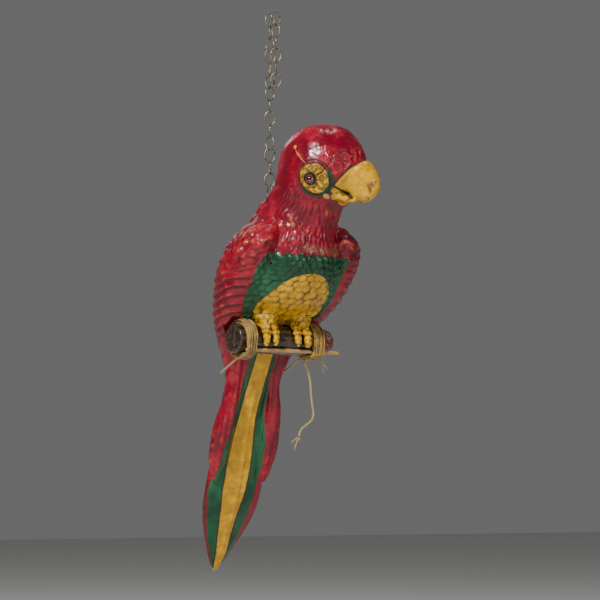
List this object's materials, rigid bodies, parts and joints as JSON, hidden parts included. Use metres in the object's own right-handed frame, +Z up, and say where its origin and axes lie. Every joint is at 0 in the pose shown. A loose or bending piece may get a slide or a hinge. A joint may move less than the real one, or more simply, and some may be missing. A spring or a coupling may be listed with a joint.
{
  "type": "hanging parrot ornament",
  "caption": "Painted plaster parrot gripping a twine-lashed log perch, hung by a light oval-link chain with a screw eye in its back.",
  "frame": {"origin": "the point of the top link's inside that bears on the hook, which is where the whole thing hangs", "axes": "+Z up along the chain; the parrot faces -Y, and its left is +X"},
  "size_m": [0.1454, 0.2419, 0.5578],
  "materials": {
    "painted_plaster": "aged glossy enamel and varnish on cast plaster: red, with green and yellow areas",
    "jute_twine": "hairy three-ply jute, varnished yellow where it is lashed",
    "chain_wire": "dull antique brass plating over steel wire",
    "dark_glass": "glossy, dark red-brown, opaque backed",
    "painted_log": "dark brown glossy paint, chipped to white at one end",
    "bare_wood": "bare, pale, slightly varnished",
    "armature_iron": "plain rusty rod, not seen"
  },
  "bodies": {
    "top_link": {"top_link": "chain_wire"},
    "chain_link_01": {"chain_link_01": "chain_wire"},
    "chain_link_02": {"chain_link_02": "chain_wire"},
    "chain_link_03": {"chain_link_03": "chain_wire"},
    "chain_link_04": {"chain_link_04": "chain_wire"},
    "chain_link_05": {"chain_link_05": "chain_wire"},
    "chain_link_06": {"chain_link_06": "chain_wire"},
    "chain_link_07": {"chain_link_07": "chain_wire"},
    "chain_link_08": {"chain_link_08": "chain_wire"},
    "chain_link_09": {"chain_link_09": "chain_wire"},
    "chain_link_10": {"chain_link_10": "chain_wire"},
    "chain_link_11": {"chain_link_11": "chain_wire"},
    "chain_link_12": {"chain_link_12": "chain_wire"},
    "chain_link_13": {"chain_link_13": "chain_wire"},
    "chain_link_14": {"chain_link_14": "chain_wire"},
    "chain_link_15": {"chain_link_15": "chain_wire"},
    "parrot": {"glass_eye_left": "dark_glass", "glass_eye_right": "dark_glass", "hanging_eye": "chain_wire", "hole_plug": "bare_wood", "lashing_left": "jute_twine", "lashing_right": "jute_twine", "loose_twine": "jute_twine", "parrot_casting": "painted_plaster", "perch_log": "painted_log", "splint_stick": "bare_wood", "tail_armature": "armature_iron", "tail_tie": "jute_twine", "twine_knot": "jute_twine"},
    "spare_link_1": {"spare_link_1": "chain_wire"},
    "spare_link_2": {"spare_link_2": "chain_wire"},
    "spare_link_3": {"spare_link_3": "chain_wire"},
    "spare_link_4": {"spare_link_4": "chain_wire"},
    "spare_link_5": {"spare_link_5": "chain_wire"},
    "spare_link_6": {"spare_link_6": "chain_wire"}
  },
  "joints": [
    {"name": "link_01_swing", "type": "hinge", "parent": "top_link", "child": "chain_link_01", "pos_m": [0, 0, -0.0134], "axis": [1, 0, 0], "range_deg": [-0.5, 6]},
    {"name": "link_02_swing", "type": "hinge", "parent": "chain_link_01", "child": "chain_link_02", "pos_m": [0, 0, -0.0258], "axis": [0.6157, 0.788, 0], "range_deg": [-0.5, 6]},
    {"name": "link_03_swing", "type": "hinge", "parent": "chain_link_02", "child": "chain_link_03", "pos_m": [0, 0, -0.0382], "axis": [0.2419, -0.9703, 0], "range_deg": [-1, 8]},
    {"name": "link_04_swing", "type": "hinge", "parent": "chain_link_03", "child": "chain_link_04", "pos_m": [0, 0, -0.0506], "axis": [0.9063, -0.4226, 0], "range_deg": [-1, 8]},
    {"name": "link_05_swing", "type": "hinge", "parent": "chain_link_04", "child": "chain_link_05", "pos_m": [0, 0, -0.063], "axis": [0.4695, 0.8829, 0], "range_deg": [-1, 8]},
    {"name": "link_06_swing", "type": "hinge", "parent": "chain_link_05", "child": "chain_link_06", "pos_m": [0, 0, -0.0754], "axis": [0.3907, -0.9205, 0], "range_deg": [-1, 8]},
    {"name": "link_07_swing", "type": "hinge", "parent": "chain_link_06", "child": "chain_link_07", "pos_m": [0, 0, -0.0878], "axis": [0.9998, 0.0175, 0], "range_deg": [-1, 8]},
    {"name": "link_08_swing", "type": "hinge", "parent": "chain_link_07", "child": "chain_link_08", "pos_m": [0, 0, -0.1002], "axis": [0.5446, 0.8387, 0], "range_deg": [-20, 20]},
    {"name": "link_09_swing", "type": "hinge", "parent": "chain_link_08", "child": "chain_link_09", "pos_m": [0, 0, -0.1126], "axis": [-0.866, 0.5, 0], "range_deg": [-20, 20]},
    {"name": "link_10_swing", "type": "hinge", "parent": "chain_link_09", "child": "chain_link_10", "pos_m": [0, 0, -0.125], "axis": [-0.5299, -0.848, 0], "range_deg": [-8, 8]},
    {"name": "link_11_swing", "type": "hinge", "parent": "chain_link_10", "child": "chain_link_11", "pos_m": [0, 0, -0.1374], "axis": [0.2419, -0.9703, 0], "range_deg": [-8, 8]},
    {"name": "link_12_swing", "type": "hinge", "parent": "chain_link_11", "child": "chain_link_12", "pos_m": [0, 0, -0.1498], "axis": [0.8829, -0.4695, 0], "range_deg": [-20, 20]},
    {"name": "link_13_swing", "type": "hinge", "parent": "chain_link_12", "child": "chain_link_13", "pos_m": [0, 0, -0.1622], "axis": [0.4695, 0.8829, 0], "range_deg": [-20, 20]},
    {"name": "link_14_swing", "type": "hinge", "parent": "chain_link_13", "child": "chain_link_14", "pos_m": [0, 0, -0.1746], "axis": [-0.866, 0.5, 0], "range_deg": [-12, 12]},
    {"name": "link_15_swing", "type": "hinge", "parent": "chain_link_14", "child": "chain_link_15", "pos_m": [0, 0, -0.187], "axis": [-0.0872, -0.9962, 0], "range_deg": [-20, 20]},
    {"name": "parrot_swing", "type": "hinge", "parent": "chain_link_15", "child": "parrot", "pos_m": [0, 0, -0.1994], "axis": [1, 0, 0], "range_deg": [-20, 20]},
    {"name": "spare_1_swing", "type": "hinge", "parent": "top_link", "child": "spare_link_1", "pos_m": [0, -0.011, 0.0007], "axis": [0, -1, 0], "range_deg": [-20, 20]},
    {"name": "spare_2_swing", "type": "hinge", "parent": "spare_link_1", "child": "spare_link_2", "pos_m": [0, -0.011, -0.0134], "axis": [-1, 0, 0], "range_deg": [-0.5, 8]},
    {"name": "spare_3_swing", "type": "hinge", "parent": "spare_link_2", "child": "spare_link_3", "pos_m": [0, -0.011, -0.0258], "axis": [-0.2419, 0.9703, 0], "range_deg": [-0.5, 8]},
    {"name": "spare_4_swing", "type": "hinge", "parent": "spare_link_3", "child": "spare_link_4", "pos_m": [0, -0.011, -0.0382], "axis": [-0.5446, -0.8387, 0], "range_deg": [-1, 8]},
    {"name": "spare_5_swing", "type": "hinge", "parent": "spare_link_4", "child": "spare_link_5", "pos_m": [0, -0.011, -0.0506], "axis": [-0.8387, 0.5446, 0], "range_deg": [-1, 8]},
    {"name": "spare_6_swing", "type": "hinge", "parent": "spare_link_5", "child": "spare_link_6", "pos_m": [0, -0.011, -0.063], "axis": [-0.5446, -0.8387, 0], "range_deg": [-1, 8]}
  ]
}
